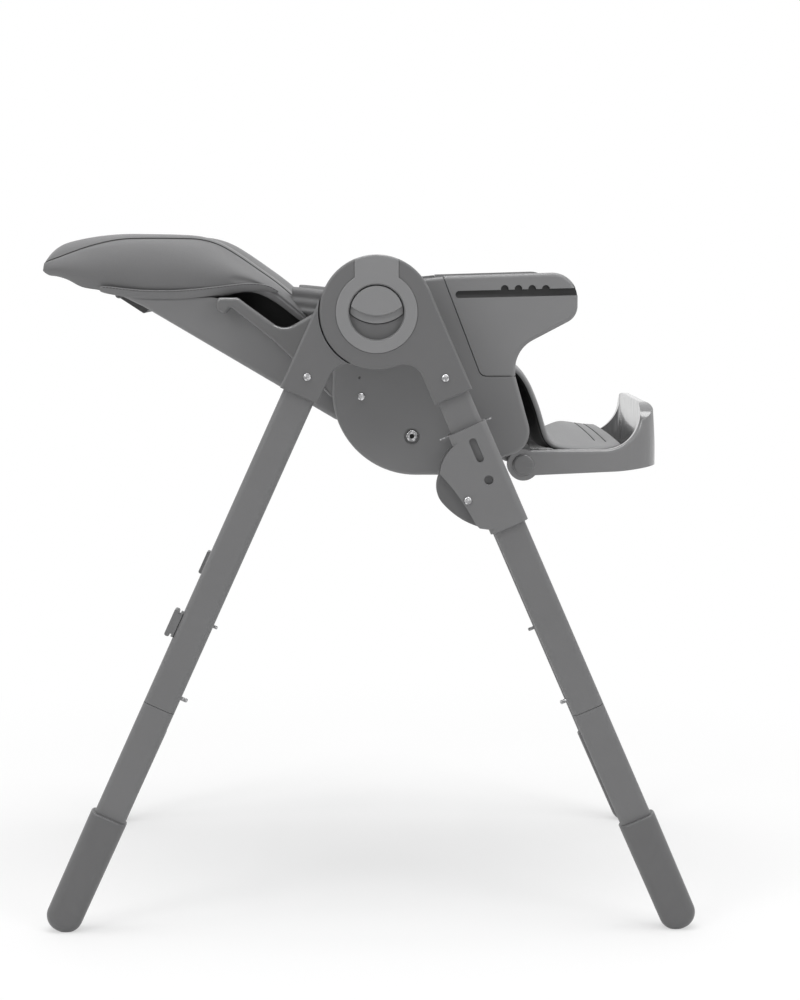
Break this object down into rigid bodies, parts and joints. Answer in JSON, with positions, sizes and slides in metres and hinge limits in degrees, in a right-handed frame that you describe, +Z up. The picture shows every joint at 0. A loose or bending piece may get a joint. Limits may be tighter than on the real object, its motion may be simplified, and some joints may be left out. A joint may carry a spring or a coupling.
{
  "type": "baby high chair",
  "caption": "Folding baby high chair: crossed leg frames on round hubs, seat sliding on leg collars, reclining padded back, tilting footrest and slotted tray rails.",
  "frame": {"origin": "on the floor under the middle of the chair's box", "axes": "+X forward, the way the child faces; +Y to the child's left; +Z up"},
  "size_m": [0.8133, 0.5452, 0.8607],
  "materials": {
    "leg_paint": "fine satin grey powder coat",
    "hub_plastic": "fine-grained moulded grey plastic",
    "foot_plastic": "soft grey moulded plastic",
    "seat_plastic": "satin moulded grey plastic",
    "trim_plastic": "lighter grey satin plastic",
    "dark_plastic": "darker grey moulded plastic",
    "leatherette": "grey leatherette with fine grain, piped and bound seams, over foam",
    "steel": "zinc-plated steel"
  },
  "bodies": {
    "front_frame": {"front_bracket_left": "hub_plastic", "front_bracket_right": "hub_plastic", "front_tube_left": "leg_paint", "front_tube_right": "leg_paint", "front_lower_tube_left": "leg_paint", "front_lower_tube_right": "leg_paint", "front_foot_left": "foot_plastic", "front_foot_right": "foot_plastic", "front_crossbar": "leg_paint", "front_leg_screws": "steel", "hub_bolts": "steel", "hub_trim_left": "trim_plastic", "hub_trim_right": "trim_plastic"},
    "rear_frame": {"rear_bracket_left": "hub_plastic", "rear_bracket_right": "hub_plastic", "rear_tube_left": "leg_paint", "rear_tube_right": "leg_paint", "rear_lower_tube_left": "leg_paint", "rear_lower_tube_right": "leg_paint", "rear_foot_left": "foot_plastic", "rear_foot_right": "foot_plastic", "rear_crossbar": "leg_paint", "rear_leg_screws": "steel", "tray_peg_left": "dark_plastic", "tray_peg_right": "dark_plastic"},
    "seat": {"seat_shell": "seat_plastic", "under_cover": "seat_plastic", "seat_stretcher": "steel", "stretcher_bolts": "steel", "tray_rail_left": "seat_plastic", "tray_rail_right": "seat_plastic", "side_arm_left": "seat_plastic", "side_arm_right": "seat_plastic", "back_hinge_pins": "steel", "leg_collar_left": "hub_plastic", "leg_collar_right": "hub_plastic", "collar_clips": "steel", "trigger_screws": "steel", "seat_cushion": "leatherette", "calf_pad": "leatherette", "footrest_axle": "steel"},
    "backrest": {"back_shell": "seat_plastic", "back_cushion": "leatherette"},
    "recline_lever": {"recline_lever": "trim_plastic"},
    "footrest": {"footrest_frame": "seat_plastic", "foot_pad": "leatherette"},
    "footrest_button_right": {"footrest_button_right": "trim_plastic"},
    "footrest_button_left": {"footrest_button_left": "trim_plastic"},
    "fold_paddle_right": {"fold_paddle_right": "trim_plastic"},
    "fold_paddle_left": {"fold_paddle_left": "trim_plastic"},
    "height_trigger_right": {"height_trigger_right": "dark_plastic"},
    "height_trigger_left": {"height_trigger_left": "dark_plastic"},
    "front_snap_button_right": {"front_snap_button_right": "steel"},
    "front_snap_button_left": {"front_snap_button_left": "steel"},
    "rear_snap_button_right": {"rear_snap_button_right": "steel"},
    "rear_snap_button_left": {"rear_snap_button_left": "steel"}
  },
  "joints": [
    {"name": "rear_fold", "type": "hinge", "parent": "front_frame", "child": "rear_frame", "pos_m": [0.0109, 0, 0.765], "axis": [0, -1, 0], "range_deg": [0, 46]},
    {"name": "seat_height", "type": "slide", "parent": "front_frame", "child": "seat", "axis": [0.3987, 0, -0.9171], "range_m": [0, 0.09]},
    {"name": "back_recline", "type": "hinge", "parent": "seat", "child": "backrest", "pos_m": [-0.0081, 0, 0.658], "axis": [0, 1, 0], "range_deg": [0, 45]},
    {"name": "recline_lever", "type": "hinge", "parent": "backrest", "child": "recline_lever", "pos_m": [-0.32231, 0, 0.78283], "axis": [0, 1, 0], "range_deg": [0, 18], "stiffness_Nm_per_rad": 0.5, "springref_deg": -5.73},
    {"name": "footrest_tilt", "type": "hinge", "parent": "seat", "child": "footrest", "pos_m": [0.1979, 0, 0.568], "axis": [0, 1, 0], "range_deg": [0, 70]},
    {"name": "footrest_button_right", "type": "slide", "parent": "footrest", "child": "footrest_button_right", "axis": [0, 1, 0], "range_m": [0, 0.004], "stiffness_N_per_m": 800, "springref_m": -0.003},
    {"name": "fold_paddle_right", "type": "hinge", "parent": "front_frame", "child": "fold_paddle_right", "pos_m": [0.0109, -0.2615, 0.787], "axis": [-1, 0, 0], "range_deg": [0, 12], "stiffness_Nm_per_rad": 0.5, "springref_deg": -5.73},
    {"name": "height_trigger_right", "type": "hinge", "parent": "seat", "child": "height_trigger_right", "pos_m": [0.12092, -0.25, 0.53805], "axis": [0, 1, 0], "range_deg": [0, 6], "stiffness_Nm_per_rad": 1, "springref_deg": -5.73},
    {"name": "front_snap_button_right", "type": "slide", "parent": "front_frame", "child": "front_snap_button_right", "axis": [0.9171, 0, 0.3987], "range_m": [0, 0.006], "stiffness_N_per_m": 1000, "springref_m": -0.004},
    {"name": "rear_snap_button_right", "type": "slide", "parent": "rear_frame", "child": "rear_snap_button_right", "axis": [-0.9107, 0, 0.4131], "range_m": [0, 0.006], "stiffness_N_per_m": 1000, "springref_m": -0.004},
    {"name": "footrest_button_left", "type": "slide", "parent": "footrest", "child": "footrest_button_left", "axis": [0, -1, 0], "range_m": [0, 0.004], "stiffness_N_per_m": 800, "springref_m": -0.003},
    {"name": "fold_paddle_left", "type": "hinge", "parent": "front_frame", "child": "fold_paddle_left", "pos_m": [0.0109, 0.2615, 0.787], "axis": [1, 0, 0], "range_deg": [0, 12], "stiffness_Nm_per_rad": 0.5, "springref_deg": -5.73},
    {"name": "height_trigger_left", "type": "hinge", "parent": "seat", "child": "height_trigger_left", "pos_m": [0.12092, 0.25, 0.53805], "axis": [0, 1, 0], "range_deg": [0, 6], "stiffness_Nm_per_rad": 1, "springref_deg": -5.73},
    {"name": "front_snap_button_left", "type": "slide", "parent": "front_frame", "child": "front_snap_button_left", "axis": [0.9171, 0, 0.3987], "range_m": [0, 0.006], "stiffness_N_per_m": 1000, "springref_m": -0.004},
    {"name": "rear_snap_button_left", "type": "slide", "parent": "rear_frame", "child": "rear_snap_button_left", "axis": [-0.9107, 0, 0.4131], "range_m": [0, 0.006], "stiffness_N_per_m": 1000, "springref_m": -0.004}
  ]
}
